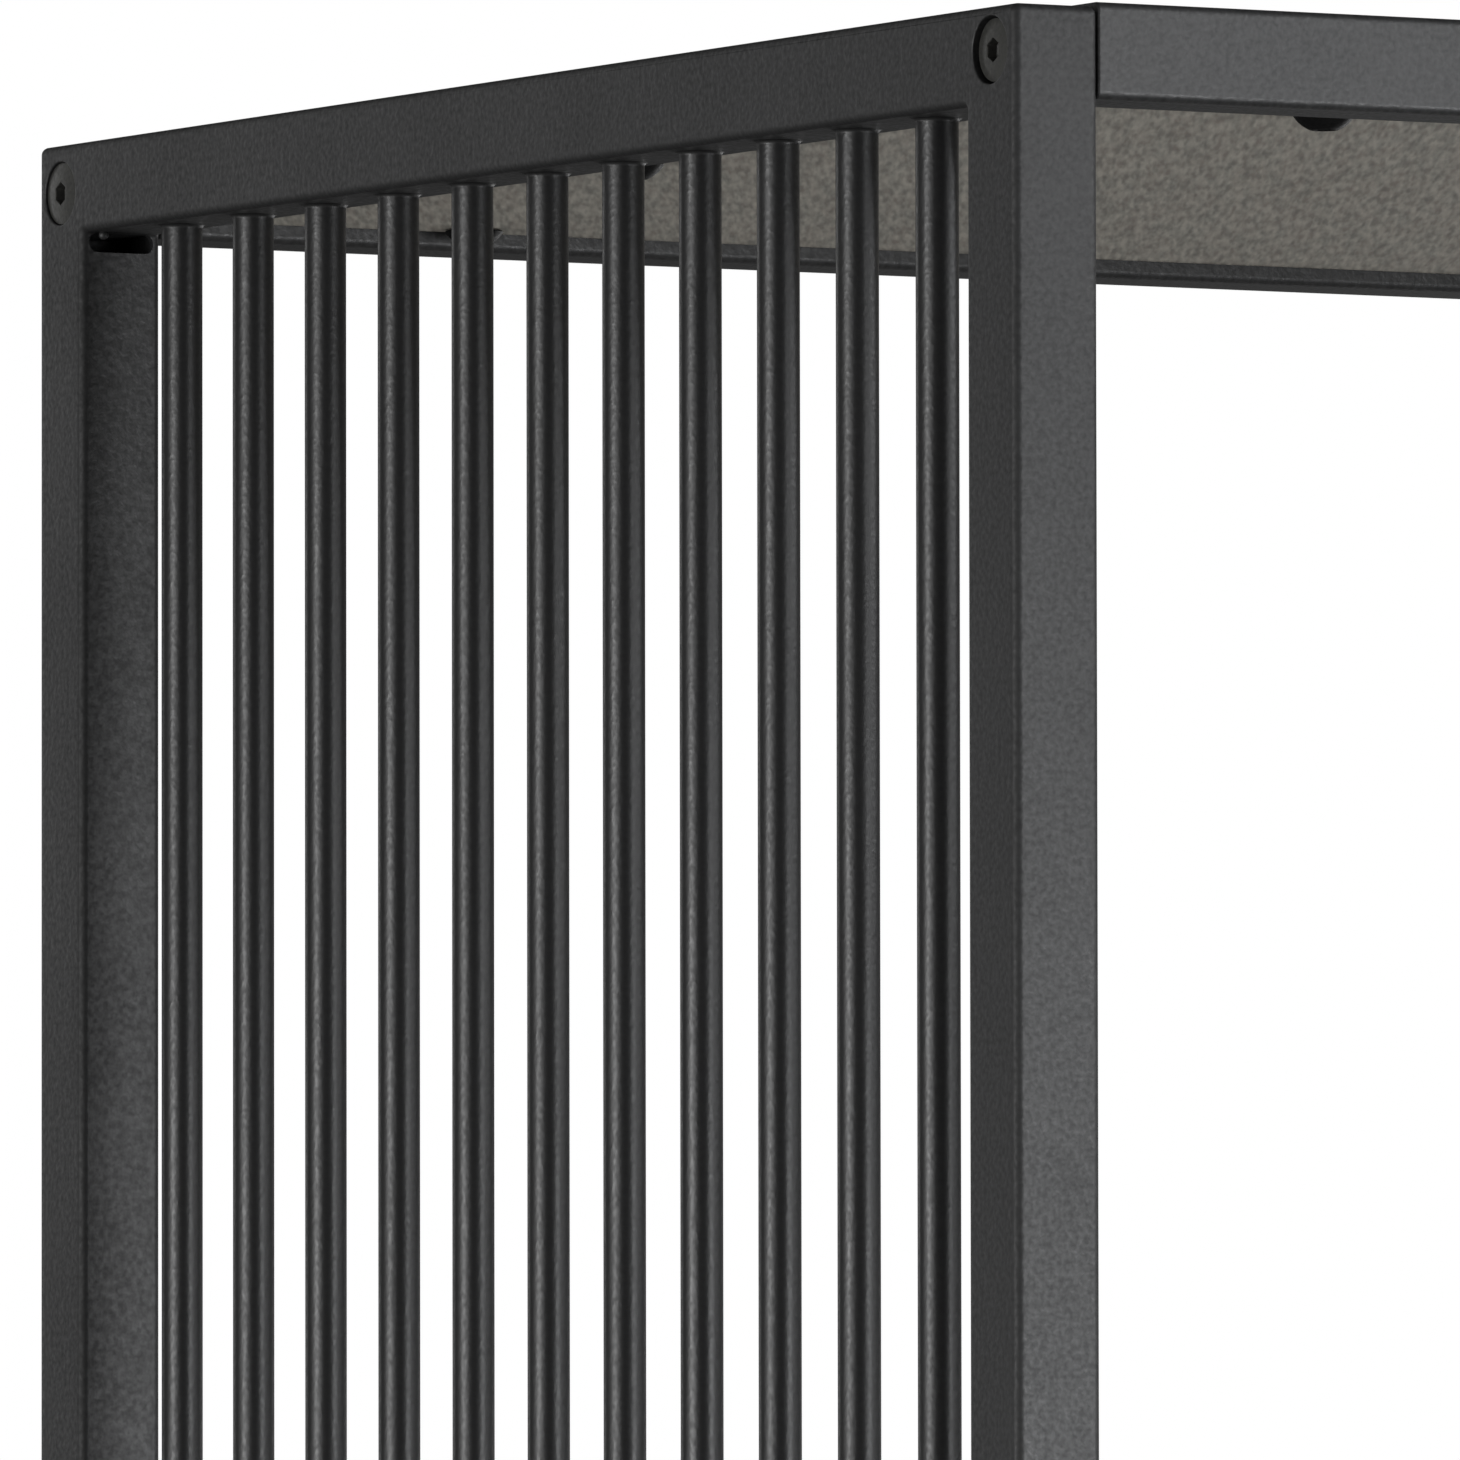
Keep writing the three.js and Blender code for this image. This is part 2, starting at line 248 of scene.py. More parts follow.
def cut_away(bm, point, normal):
    """Removes what lies beyond the plane, on the side that normal names, and closes the cut."""
    everything = bm.verts[:] + bm.edges[:] + bm.faces[:]
    bmesh.ops.bisect_plane(bm, geom=everything, dist=SAME, plane_co=point, plane_no=normal, clear_outer=True)
    bmesh.ops.holes_fill(bm, edges=[e for e in bm.edges if e.is_boundary], sides=0)


def as_mesh(bm, name):
    """Mesh of bm, its seams closed and its faces turned outwards. It uses bm up."""
    bmesh.ops.remove_doubles(bm, verts=bm.verts, dist=SAME)
    bmesh.ops.recalc_face_normals(bm, faces=bm.faces)
    mesh = bpy.data.meshes.new(name)
    bm.to_mesh(mesh)
    bm.free()
    return mesh


def boolean(mesh, tool, operation):
    """mesh joined with, or cut by, the closed solid in the bmesh tool."""
    body = bpy.data.objects.new("boolean_body", mesh)
    other = bpy.data.objects.new("boolean_tool", as_mesh(tool, "boolean_tool"))
    for thing in (body, other):
        bpy.context.scene.collection.objects.link(thing)
    modifier = body.modifiers.new("boolean", "BOOLEAN")
    modifier.operation = operation
    modifier.solver = "EXACT"
    modifier.object = other
    evaluated = body.evaluated_get(bpy.context.evaluated_depsgraph_get())
    made = bpy.data.meshes.new_from_object(evaluated)
    bpy.data.objects.remove(body)
    bpy.data.objects.remove(other)
    return made


def bored(mesh, start, direction, radius, depth):
    """mesh with a round hole that starts just before start and ends depth after it."""
    turn = Vector(direction).to_track_quat("Z", "Y").to_matrix().to_4x4()
    tool = new_mesh()
    lathe(tool, [(radius, -OVERSHOOT), (radius, depth)], Matrix.Translation(start) @ turn, BORE_SIDES)
    return boolean(mesh, tool, "DIFFERENCE")


def finish_piece(mesh, node, body, material):
    """Turns a mesh into the finished piece that stands for a CAD node."""
    mesh.name = node + "_finished"
    mesh.materials.clear()
    mesh.materials.append(material)
    mesh.shade_smooth()
    mesh.set_sharp_from_angle(angle=SMOOTH_ANGLE)
    piece = bpy.data.objects.new(node + "_finished", mesh)
    bpy.context.scene.collection.objects.link(piece)
    weighted = piece.modifiers.new("weighted_normals", "WEIGHTED_NORMAL")
    weighted.keep_sharp = True
    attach(piece, body)
    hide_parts(node)
    pieces.append(piece)
    return piece


# ---- materials ----

def node_material(name):
    """A new material and its surface node."""
    material = bpy.data.materials.new(name)
    material.use_nodes = True
    return material, material.node_tree.nodes["Principled BSDF"]


def add_node(material, kind, inputs=None, **settings):
    """A node with its settings and inputs. An input is a value, or another node's output."""
    node = material.node_tree.nodes.new(kind)
    for key, value in settings.items():
        setattr(node, key, value)
    for key, value in (inputs or {}).items():
        if isinstance(value, bpy.types.NodeSocket):
            material.node_tree.links.new(value, node.inputs[key])
        else:
            node.inputs[key].default_value = value
    return node


def link(material, output, node, socket):
    material.node_tree.links.new(output, node.inputs[socket])


def noise(material, scale, detail=2.0, roughness=0.5, length=1.0, turn=0.0):
    """Noise of scale per metre, drawn out length times along a line turn degrees from the Y axis."""
    coordinates = add_node(material, "ShaderNodeTexCoord")
    mapping = add_node(
        material,
        "ShaderNodeMapping",
        {
            "Vector": coordinates.outputs["Object"],
            "Rotation": (0, 0, -math.radians(turn)),
            "Scale": (1, length, 1),
        },
        vector_type="TEXTURE",
    )
    texture = add_node(
        material,
        "ShaderNodeTexNoise",
        {"Vector": mapping.outputs["Vector"], "Scale": scale, "Detail": detail, "Roughness": roughness},
    )
    return texture.outputs["Fac"]


def remap(material, value, low, high, out_low, out_high):
    ranged = add_node(
        material,
        "ShaderNodeMapRange",
        {"Value": value, "From Min": low, "From Max": high, "To Min": out_low, "To Max": out_high},
    )
    return ranged.outputs["Result"]


def mixed(material, factor, a, b):
    """Colour between a and b."""
    mix = add_node(material, "ShaderNodeMix", data_type="RGBA")
    for index, value in ((0, factor), (6, a), (7, b)):
        if isinstance(value, bpy.types.NodeSocket):
            material.node_tree.links.new(value, mix.inputs[index])
        else:
            mix.inputs[index].default_value = value
    return mix.outputs[2]


def product(material, a, b):
    return add_node(material, "ShaderNodeMath", {0: a, 1: b}, operation="MULTIPLY").outputs[0]


def total(material, a, b):
    return add_node(material, "ShaderNodeMath", {0: a, 1: b}, operation="ADD").outputs[0]


def rgba(colour):
    return (*colour, 1.0)


def bump(material, height, distance):
    inputs = {"Height": height, "Distance": distance, "Strength": 1.0}
    return add_node(material, "ShaderNodeBump", inputs).outputs["Normal"]


def powder_coat(name, dark, light, edge_colour, roughness, grain, relief, gloss=0.5):
    """Fine-textured coat: speckle from dark to light, faint clouds, a grainy surface, and rougher edges
    whose colour is mixed towards edge_colour, which on the tubes and bars is painted shade that darkens
    rounded edges and welds. grain is the speckles per metre, and relief the grain's height."""
    material, surface = node_material(name)
    speckle = remap(material, noise(material, grain, 1.0, 0.5), 0.28, 0.72, 0.0, 1.0)
    clouds = remap(material, noise(material, 22.0, 3.0, 0.55), 0.35, 0.65, 0.0, 1.0)
    tone = total(material, product(material, speckle, 0.8), product(material, clouds, 0.2))
    coat = mixed(material, tone, rgba(dark), rgba(light))
    edge = add_node(material, "ShaderNodeAttribute", attribute_name=EDGE).outputs["Fac"]
    # painted shade: where the edge attribute is high, the colour is mixed towards edge_colour, darkening
    # rounded edges and weld fillets
    colour = mixed(material, product(material, edge, 0.8), coat, rgba(edge_colour))
    link(material, colour, surface, "Base Color")
    dullness = remap(material, tone, 0.0, 1.0, roughness + 0.09, roughness - 0.09)
    link(material, total(material, dullness, product(material, edge, 0.2)), surface, "Roughness")
    surface.inputs["Specular IOR Level"].default_value = gloss
    height = total(material, noise(material, grain, 1.0, 0.5), noise(material, grain * 0.3, 1.0, 0.5))
    link(material, bump(material, height, relief), surface, "Normal")
    return material


def stone_look(name):
    """Printed concrete-look face: soft clouds, blotches, pits and fine grains drawn out one way."""
    material, surface = node_material(name)
    drawn = {"length": 14.0, "turn": 30.0}
    clouds = remap(material, noise(material, 14.0, 3.0, 0.5), 0.35, 0.65, 0.0, 1.0)
    blotches = remap(material, noise(material, 55.0, 4.0, 0.6), 0.3, 0.7, 0.0, 1.0)
    grains = remap(material, noise(material, 760.0, 1.5, 0.5, **drawn), 0.3, 0.7, 0.0, 1.0)
    specks = remap(material, noise(material, 330.0, 2.0, 0.5, **drawn), 0.35, 0.65, 0.0, 1.0)
    base = mixed(material, blotches, rgba((0.229, 0.218, 0.190)), rgba((0.310, 0.289, 0.250)))
    tinted = mixed(material, product(material, clouds, 0.5), base, rgba((0.268, 0.268, 0.243)))
    flecked = mixed(material, product(material, specks, 0.6), tinted, rgba((0.325, 0.271, 0.231)))
    light = mixed(material, product(material, grains, 0.8), flecked, rgba((0.581, 0.551, 0.478)))
    pits = remap(material, noise(material, 700.0, 1.0, 0.5, **drawn), 0.52, 0.72, 0.0, 0.5)
    link(material, mixed(material, pits, light, rgba((0.173, 0.168, 0.146))), surface, "Base Color")
    link(material, remap(material, blotches, 0.0, 1.0, 0.72, 0.84), surface, "Roughness")
    height = total(material, noise(material, 620.0, 3.0, 0.6), noise(material, 85.0, 2.0, 0.5))
    link(material, bump(material, height, 0.05 * MM), surface, "Normal")
    surface.inputs["Specular IOR Level"].default_value = 0.3
    return material


def moulded_plastic(name):
    """Black plastic with a faint, fine grain."""
    material, surface = node_material(name)
    tone = remap(material, noise(material, 240.0, 3.0, 0.6), 0.3, 0.7, 0.0, 1.0)
    colour = mixed(material, tone, rgba((0.010, 0.010, 0.011)), rgba((0.020, 0.020, 0.021)))
    link(material, colour, surface, "Base Color")
    link(material, remap(material, tone, 0.0, 1.0, 0.5, 0.62), surface, "Roughness")
    link(material, bump(material, noise(material, 900.0, 2.0, 0.5), 0.03 * MM), surface, "Normal")
    return material


def floor_paint(name):
    """Pale, dull floor with faint large clouds."""
    material, surface = node_material(name)
    tone = remap(material, noise(material, 1.3, 3.0, 0.5), 0.3, 0.7, 0.0, 1.0)
    colour = mixed(material, tone, rgba((0.78, 0.78, 0.775)), rgba((0.80, 0.80, 0.797)))
    link(material, colour, surface, "Base Color")
    surface.inputs["Roughness"].default_value = 0.9
    surface.inputs["Specular IOR Level"].default_value = 0.1
    return material


TUBE_COAT = {
    "dark": (0.0120, 0.0121, 0.0125),
    "light": (0.0400, 0.0402, 0.0409),
    # edge_colour is darker than the coat: painted shade along the tubes' rounded edges and welds
    "edge_colour": (0.010, 0.010, 0.010),
    "roughness": 0.46,
    "grain": 820.0,
    "relief": 0.09 * MM,
}
frame_coat = powder_coat("frame_coat", **TUBE_COAT)
rail_coat = powder_coat("rail_coat", gloss=0.71, **TUBE_COAT)
bar_coat = powder_coat(
    "bar_coat",
    dark=(0.0090, 0.0090, 0.0092),
    light=(0.0215, 0.0215, 0.0217),
    # edge_colour is darker than the bar's coat: painted shade on the weld fillets at the bars' ends
    edge_colour=(0.008, 0.008, 0.008),
    roughness=0.37,
    grain=820.0,
    relief=0.06 * MM,
)
bolt_coat = powder_coat(
    "bolt_coat",
    dark=(0.030, 0.030, 0.028),
    light=(0.055, 0.055, 0.050),
    edge_colour=(0.140, 0.138, 0.130),
    roughness=0.38,
    grain=1100.0,
    relief=0.03 * MM,
)
oxide = powder_coat(
    "black_oxide",
    dark=(0.004, 0.004, 0.004),
    light=(0.009, 0.009, 0.009),
    edge_colour=(0.030, 0.030, 0.028),
    roughness=0.58,
    grain=1100.0,
    relief=0.03 * MM,
    gloss=0.12,
)
stone = stone_look("stone_board")
plastic = moulded_plastic("foot_plastic")


# ---- pieces ----

pieces = []
YZX = Matrix(((0, 0, 1, 0), (1, 0, 0, 0), (0, 1, 0, 0), (0, 0, 0, 1)))  # (u, v, w) to (Y, Z, X)
XYZ = Matrix.Identity(4)


def middle(node):
    low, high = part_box(node)
    return (low + high) / 2


def corner_bolt(side, place, level):
    return f"{side}_{place}_{level}_bolt"


def board_bolt(level, name):
    return f"{level}_board_bolt_{name}"


def end_frame(side):
    """Both posts and both rails of one end, welded and ground flush, as one solid."""
    outward = SIDES[side]
    front_low, front_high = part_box(f"{side}_front_post")
    rear_low, rear_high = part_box(f"{side}_rear_post")
    upper_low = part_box(f"{side}_upper_rail")[0]
    lower_low, lower_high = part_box(f"{side}_lower_rail")
    outer = [
        (front_low.y, front_low.z, FOOT_END),
        (front_high.y, front_low.z, FOOT_END),
        (front_high.y, lower_low.z, WELD_CORNER),
        (rear_low.y, lower_low.z, WELD_CORNER),
        (rear_low.y, front_low.z, FOOT_END),
        (rear_high.y, front_low.z, FOOT_END),
        (rear_high.y, front_high.z, FRAME_CORNER),
        (front_low.y, front_high.z, FRAME_CORNER),
    ]
    opening = [
        (front_high.y, lower_high.z, WELD_CORNER),
        (front_high.y, upper_low.z, WELD_CORNER),
        (rear_low.y, upper_low.z, WELD_CORNER),
        (rear_low.y, lower_high.z, WELD_CORNER),
    ]
    seats = []
    for place in PLACES:
        for level in LEVELS:
            at = middle(corner_bolt(side, place, level))
            seats.append((at.y, at.z, outward))
    bm = new_mesh()
    slab(bm, [outer, opening], front_low.x, front_high.x, TUBE_CORNER, YZX, seats)
    return bm


def lug_tool(root, direction, clearance=0.0):
    """Lug from root, a point on a rail's inner face, reaching along direction. With a clearance, it is
    the slot for such a lug."""
    x_axis = Vector(direction)
    y_axis = Vector((0, 0, 1)).cross(x_axis)
    turn = Matrix((x_axis, y_axis, (0, 0, 1))).transposed().to_4x4()
    half = LUG_WIDTH / 2 + 3 * clearance
    reach = LUG_REACH + 3 * clearance
    corner = LUG_CORNER if clearance == 0 else SLOT_CORNER
    corners = [
        (-OVERSHOOT, -half, SHARP),
        (reach, -half, corner),
        (reach, half, corner),
        (-OVERSHOOT, half, SHARP),
    ]
    tool = new_mesh()
    slab(tool, [corners], -clearance, LUG_THICKNESS + clearance, SHARP, Matrix.Translation(root) @ turn)
    return tool


def lug_places(level):
    """Root and direction of each lug of one level, by the name of the bolt under it."""
    post_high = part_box("left_front_post")[1]
    rail_y = -post_high.y
    rail_x = -post_high.x
    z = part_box(f"{level}_board")[0].z + LUG_LEVEL
    places = {}
    for name in BOARD_BOLTS:
        at = middle(board_bolt(level, name))
        if name in SIDES:
            sign = SIDES[name]
            places[name] = (Vector((sign * rail_x, at.y, z)), (-sign, 0, 0))
        else:
            sign = PLACES[name.split("_")[0]]
            places[name] = (Vector((at.x, sign * rail_y, z)), (0, -sign, 0))
    return places


def make_post(side, place, whole):
    """One post, cut from the welded frame, with its vent, its bolt bores and the bore for its foot."""
    node = f"{side}_{place}_post"
    toward = PLACES[place]
    low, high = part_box(node)
    centre = (low + high) / 2
    width = high.x - low.x
    inner_y = low.y if toward > 0 else high.y
    rail_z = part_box(f"{side}_upper_rail")[0].z
    bm = whole.copy()
    cut_away(bm, Vector((0, inner_y - toward * WELD_STUB, 0)), Vector((0, -toward, 0)))
    mesh = as_mesh(bm, node)

    # (u, v, w) to (X, Z, Y), with w from the post's inner face
    xzy = Matrix(((1, 0, 0, 0), (0, 0, 1, inner_y), (0, 1, 0, 0), (0, 0, 0, 1)))
    half = VENT_WIDTH / 2
    vent_bottom = rail_z - VENT_HEIGHT
    corners = rectangle(centre.x - half, vent_bottom, centre.x + half, rail_z - VENT_GAP, VENT_CORNER)
    vent = new_mesh()
    slab(vent, [corners], -VENT_DEPTH, VENT_DEPTH, SHARP, xzy)
    mesh = boolean(mesh, vent, "DIFFERENCE")

    half = width / 2 - WALL
    corners = rectangle(centre.x - half, rail_z - HOLLOW, centre.x + half, rail_z, TUBE_CORNER - WALL)
    near, far = sorted((toward * WALL, toward * (width - WALL)))
    hollow = new_mesh()
    slab(hollow, [corners], near, far, HOLLOW_EDGE, xzy)
    mesh = boolean(mesh, hollow, "DIFFERENCE")

    outward = SIDES[side]
    for level in LEVELS:
        at = middle(corner_bolt(side, place, level))
        start = Vector((centre.x + outward * width / 2, at.y, at.z))
        mesh = bored(mesh, start, (-outward, 0, 0), BORE_RADIUS, width + OVERSHOOT)
    foot_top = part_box(f"{side}_{place}_foot")[1].z
    start = Vector((centre.x, centre.y, low.z))
    mesh = bored(mesh, start, (0, 0, 1), FOOT_BORE_RADIUS, foot_top - low.z + OVERSHOOT)
    return finish_piece(mesh, node, "rack", frame_coat)


def make_end_rail(side, level, whole):
    """One rail, cut from the welded frame, with its lug. An upper one has a bead of coat at each end."""
    node = f"{side}_{level}_rail"
    front_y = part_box(f"{side}_front_post")[1].y + WELD_STUB
    rear_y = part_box(f"{side}_rear_post")[0].y - WELD_STUB
    bm = whole.copy()
    cut_away(bm, Vector((0, front_y, 0)), Vector((0, -1, 0)))
    cut_away(bm, Vector((0, rear_y, 0)), Vector((0, 1, 0)))
    up = 1 if level == "upper" else -1
    cut_away(bm, (cad_low + cad_high) / 2, Vector((0, 0, -up)))
    mesh = as_mesh(bm, node)
    mesh = boolean(mesh, lug_tool(*lug_places(level)[side]), "UNION")
    if level == "upper":
        low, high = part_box(node)
        outer_x = low.x if side == "left" else high.x
        steps = DROP_SIDES // 2
        angles = [k * math.pi / steps for k in range(1, steps)]
        ball = [(DROP * math.sin(angle), -DROP * math.cos(angle)) for angle in angles]
        for y in (front_y + DROP, rear_y - DROP):
            at = Vector((outer_x - SIDES[side] * 4 * DROP, y, low.z - 0.6 * DROP))
            drop = new_mesh()
            lathe(drop, ball, Matrix.Translation(at), DROP_SIDES)
            mesh = boolean(mesh, drop, "UNION")
    return finish_piece(mesh, node, "rack", frame_coat)


def make_bar(side, number):
    """Round bar with a small fillet of weld at each end."""
    node = f"{side}_bar_{number}"
    low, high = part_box(node)
    centre = (low + high) / 2
    radius = (high.x - low.x) / 2
    fillet = quarter_round(BAR_WELD, FILLET_STEPS)
    profile = [(radius + out, low.z + up) for out, up in fillet]
    profile += [(radius + out, high.z - up) for out, up in reversed(fillet)]
    bm = new_mesh()
    lathe(bm, profile, Matrix.Translation((centre.x, centre.y, 0)), BAR_SIDES)
    # The weld fillets are marked as edge, so the coat paints them darker: a painted shade that dims their
    # highlights.
    edge_layer = bm.verts.layers.float[EDGE]
    for vertex in bm.verts:
        if min(vertex.co.z - low.z, high.z - vertex.co.z) < 0.9 * BAR_WELD:
            vertex[edge_layer] = 1.0
    return finish_piece(as_mesh(bm, node), node, "rack", bar_coat)


def make_cross_rail(level, place):
    """Tube between the end frames, closed by welded end plates, with a lug near each end."""
    node = f"{level}_{place}_rail"
    low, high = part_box(node)
    post_low, post_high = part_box(f"left_{place}_post")
    bm = new_mesh()
    section = rectangle(post_low.y, low.z, post_high.y, high.z, TUBE_CORNER)
    slab(bm, [section], low.x, high.x, CUT_EDGE, YZX)
    mesh = as_mesh(bm, node)
    for side, outward in SIDES.items():
        mesh = boolean(mesh, lug_tool(*lug_places(level)[f"{place}_{side}"]), "UNION")
        at = middle(corner_bolt(side, place, level))
        end = Vector((high.x if outward > 0 else low.x, at.y, at.z))
        mesh = bored(mesh, end, (-outward, 0, 0), BORE_RADIUS, RAIL_BORE_DEPTH)
    return finish_piece(mesh, node, "rack", rail_coat)


def make_board(level):
    """Board with a slot in its edge for each lug, and a bore up into the slot for the bolt."""
    node = f"{level}_board"
    low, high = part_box(node)
    bm = new_mesh()
    slab(bm, [rectangle(low.x, low.y, high.x, high.y, BOARD_CORNER)], low.z, high.z, BOARD_EDGE, XYZ)
    mesh = as_mesh(bm, node)
    for name, (root, direction) in lug_places(level).items():
        mesh = boolean(mesh, lug_tool(root, direction, CLEAR), "DIFFERENCE")
        at = middle(board_bolt(level, name))
        shank_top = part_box(board_bolt(level, name))[1].z
        mesh = bored(mesh, Vector((at.x, at.y, low.z)), (0, 0, 1), BORE_RADIUS, shank_top - low.z + CLEAR)
    return finish_piece(mesh, node, "rack", stone)


def dome(rim_radius, rim, mouth, top, steps=10):
    """Profile of a spherical cap from (rim_radius, rim) in to (mouth, top)."""
    centre = (rim_radius ** 2 - mouth ** 2 + rim ** 2 - top ** 2) / (2 * (rim - top))
    sphere = math.hypot(rim_radius, rim - centre)
    first = math.atan2(rim_radius, rim - centre)
    last = math.atan2(mouth, top - centre)
    points = []
    for k in range(steps + 1):
        angle = first + (last - first) * k / steps
        points.append((sphere * math.sin(angle), centre + sphere * math.cos(angle)))
    return points


def hexagon_radius(angle):
    """Distance from the middle of a hexagon socket to its side."""
    sector = (angle + math.pi / 6) % (math.pi / 3) - math.pi / 6
    return HEX_SOCKET / 2 / math.cos(sector)


def make_bolt(node, head_direction, cad_head, head, material, wider=0.0):
    """Bolt with threads and a hexagon socket. head_direction points from the bearing face to the head,
    cad_head is the height of the head in the node's box, and head the rim and top of the one made,
    whose radius is wider by that much."""
    low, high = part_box(node)
    axis = Vector(head_direction)
    size = high - low
    length = abs(axis.dot(size))
    shank = length - cad_head
    radius = (size.y if axis.x else size.x) / 2 + wider
    bearing = (low + high) / 2 + axis * (length / 2 - cad_head)
    place = Matrix.Translation(bearing) @ axis.to_track_quat("Z", "Y").to_matrix().to_4x4()
    rim, top = head
    profile = [(SHANK_TIP_RADIUS, -shank)]
    for k in range(int(shank / THREAD_PITCH)):
        z = (k + 0.5) * THREAD_PITCH - shank
        profile += [(SHANK_RADIUS, z), (THREAD_ROOT_RADIUS, z + THREAD_PITCH / 2)]
    profile += [(SHANK_RADIUS, -HEAD_EDGE), (SHANK_RADIUS, 0), (radius - HEAD_EDGE, 0)]
    profile += dome(radius, rim, SOCKET_MOUTH_RADIUS, top)
    bm = new_mesh()
    rings = [ring_of(bm, place, [r] * ROUND, z) for r, z in profile]
    hexagon = [hexagon_radius(2 * math.pi * k / ROUND) for k in range(ROUND)]
    rings.append(ring_of(bm, place, [r + SOCKET_CHAMFER for r in hexagon], top))
    rings.append(ring_of(bm, place, hexagon, top - 1.5 * SOCKET_CHAMFER))
    rings.append(ring_of(bm, place, hexagon, top - SOCKET_DEPTH))
    rings.append(ring_of(bm, place, [SOCKET_CONE_RADIUS] * ROUND, top - SOCKET_DEPTH - SOCKET_CONE))
    join_rings(bm, rings)
    bm.faces.new(rings[0])
    bm.faces.new(rings[-1])
    return finish_piece(as_mesh(bm, node), node, "rack", material)


def make_foot(side, place):
    """Levelling foot: a fluted pad, a neck and a threaded stem."""
    node = f"{side}_{place}_foot"
    low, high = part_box(node)
    centre = (low + high) / 2
    pad_radius = (high.x - low.x) / 2
    place_of_foot = Matrix.Translation((centre.x, centre.y, 0))
    neck_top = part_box(f"{side}_{place}_post")[0].z - CLEAR
    sides = FLUTES * 4
    profile = [  # (radius, height, how deep the flutes are)
        (pad_radius - 0.8 * MM, 0, 0),
        (pad_radius - 0.2 * MM, 0.25 * MM, 0.5),
        (pad_radius, 0.8 * MM, 1),
        (pad_radius, PAD_HEIGHT - 0.7 * MM, 1),
        (pad_radius - 0.25 * MM, PAD_HEIGHT - 0.2 * MM, 0.6),
        (pad_radius - 0.8 * MM, PAD_HEIGHT, 0),
        (NECK_RADIUS + 1.0 * MM, PAD_HEIGHT + 0.5 * MM, 0),
        (NECK_RADIUS + 0.2 * MM, PAD_HEIGHT + 1.2 * MM, 0),
        (NECK_RADIUS, PAD_HEIGHT + 2 * MM, 0),
        (NECK_RADIUS, neck_top - 0.3 * MM, 0),
        (NECK_RADIUS - 0.3 * MM, neck_top, 0),
        (STEM_RADIUS, neck_top, 0),
    ]
    bm = new_mesh()
    rings = []
    for radius, z, fluted in profile:
        radii = []
        for k in range(sides):
            wave = 0.5 - 0.5 * math.cos(2 * math.pi * k * FLUTES / sides)
            radii.append(radius - FLUTE_DEPTH * fluted * wave)
        rings.append(ring_of(bm, place_of_foot, radii, z))
    rows_per_turn = 6
    rows = int((high.z - neck_top - MM) / STEM_PITCH * rows_per_turn)
    for row in range(1, rows + 1):
        turns = row / rows_per_turn
        radii = []
        for k in range(sides):
            phase = (turns - k / sides) % 1.0
            radii.append(STEM_RADIUS - STEM_THREAD_DEPTH * abs(2 * phase - 1) * min(1.0, turns))
        rings.append(ring_of(bm, place_of_foot, radii, neck_top + turns * STEM_PITCH))
    rings.append(ring_of(bm, place_of_foot, [STEM_TIP_RADIUS] * sides, high.z))
    join_rings(bm, rings)
    bm.faces.new(rings[0])
    bm.faces.new(rings[-1])
    return finish_piece(as_mesh(bm, node), node, f"{side}_{place}_foot_body", plastic)


for side_name, outward_sign in SIDES.items():
    welded = end_frame(side_name)
    for place_name in PLACES:
        make_post(side_name, place_name, welded)
        for level_name in LEVELS:
            bolt_node = corner_bolt(side_name, place_name, level_name)
            head = FLAT_HEADS[place_name]
            wider = REAR_HEAD_WIDER if place_name == "rear" else 0.0
            make_bolt(bolt_node, (outward_sign, 0, 0), CAD_FLAT_HEAD, head, bolt_coat, wider)
        make_foot(side_name, place_name)
    for level_name in LEVELS:
        make_end_rail(side_name, level_name, welded)
    welded.free()
    for bar_number in range(1, BARS + 1):
        make_bar(side_name, bar_number)
for level_name in LEVELS:
    for place_name in PLACES:
        make_cross_rail(level_name, place_name)
    make_board(level_name)
    for bolt_name in BOARD_BOLTS:
        make_bolt(board_bolt(level_name, bolt_name), (0, 0, -1), BUTTON_HEAD[1], BUTTON_HEAD, oxide)


# ---- floor, light and camera ----

def direction_of(azimuth, elevation):
    """Unit vector from the rack towards a place: azimuth 0 is the front, 90 the right-hand end."""
    a = math.radians(azimuth)
    e = math.radians(elevation)
    return Vector((math.sin(a) * math.cos(e), -math.cos(a) * math.cos(e), math.sin(e)))


def make_floor():
    """Flat square floor at Z = 0, left out of reflections and bounced light."""
    half = 60.0
    bm = bmesh.new()
    bm.faces.new([bm.verts.new((x, y, 0)) for x, y, _ in rectangle(-half, -half, half, half, 0)])
    bmesh.ops.subdivide_edges(bm, edges=bm.edges, cuts=8, use_grid_fill=True)
    mesh = bpy.data.meshes.new("floor")
    bm.to_mesh(mesh)
    bm.free()
    mesh.materials.append(floor_paint("floor_paint"))
    floor = bpy.data.objects.new("floor", mesh)
    bpy.context.scene.collection.objects.link(floor)
    floor.visible_glossy = False
    floor.visible_diffuse = False
    return floor


def softbox(name, distance, azimuth, spread, low, high, radiance, colour, lit):
    """Upright rectangular light between two heights, facing the view corner from the side that azimuth
    names and spreading over that many degrees as seen from there. It lights the collection lit."""
    data = bpy.data.lights.new(name, "AREA")
    data.shape = "RECTANGLE"
    data.size = 2 * distance * math.tan(math.radians(spread) / 2)
    data.size_y = high - low
    data.color = colour
    data.energy = radiance * math.pi * data.size * data.size_y
    light = bpy.data.objects.new(name, data)
    towards = direction_of(azimuth, 0)
    light.location = Vector((view_corner.x, view_corner.y, (low + high) / 2)) + towards * distance
    light.rotation_euler = towards.to_track_quat("Z", "Y").to_euler()
    light.visible_camera = False
    light.light_linking.receiver_collection = lit
    bpy.context.scene.collection.objects.link(light)


